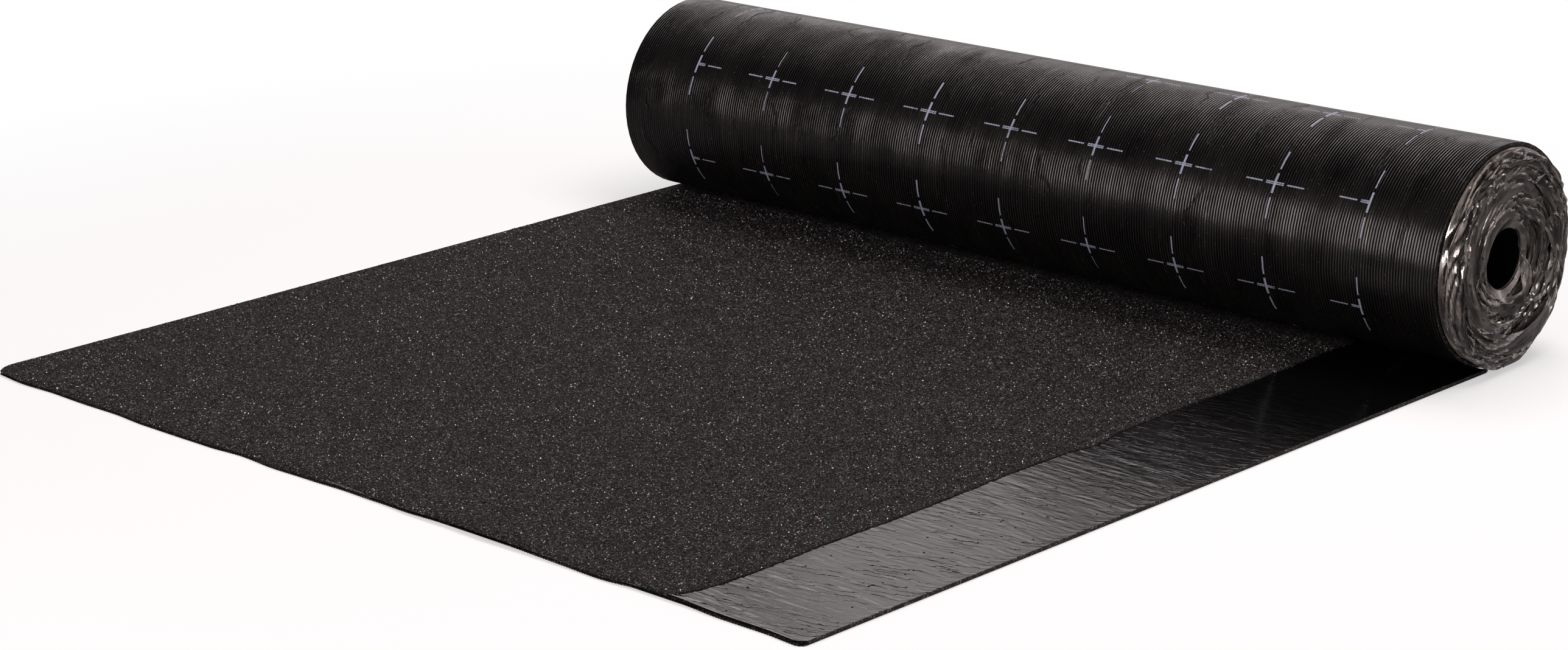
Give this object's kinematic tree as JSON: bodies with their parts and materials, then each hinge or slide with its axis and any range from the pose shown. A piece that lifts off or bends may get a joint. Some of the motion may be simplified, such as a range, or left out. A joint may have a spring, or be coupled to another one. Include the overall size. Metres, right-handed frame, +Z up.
{
  "type": "roll of roofing felt",
  "caption": "Part-used roll of mineral-surfaced roofing felt with its free end rolled out flat, a bare lap strip along one edge and crumpled release film at that end of the roll.",
  "frame": {"origin": "on the floor, under the middle of the part's box", "axes": "+X along the roll towards the bare lap strip and the release film, +Y from the cut end of the flat tail towards the roll, +Z up"},
  "size_m": [1.0208, 1.0564, 0.2116],
  "materials": {
    "felt": "mineral granules on the top face, glossy ribbed film on the underside",
    "film": "thin crumpled plastic film"
  },
  "bodies": {
    "root": {"felt_sheet": "felt", "release_film": "film"}
  },
  "joints": []
}
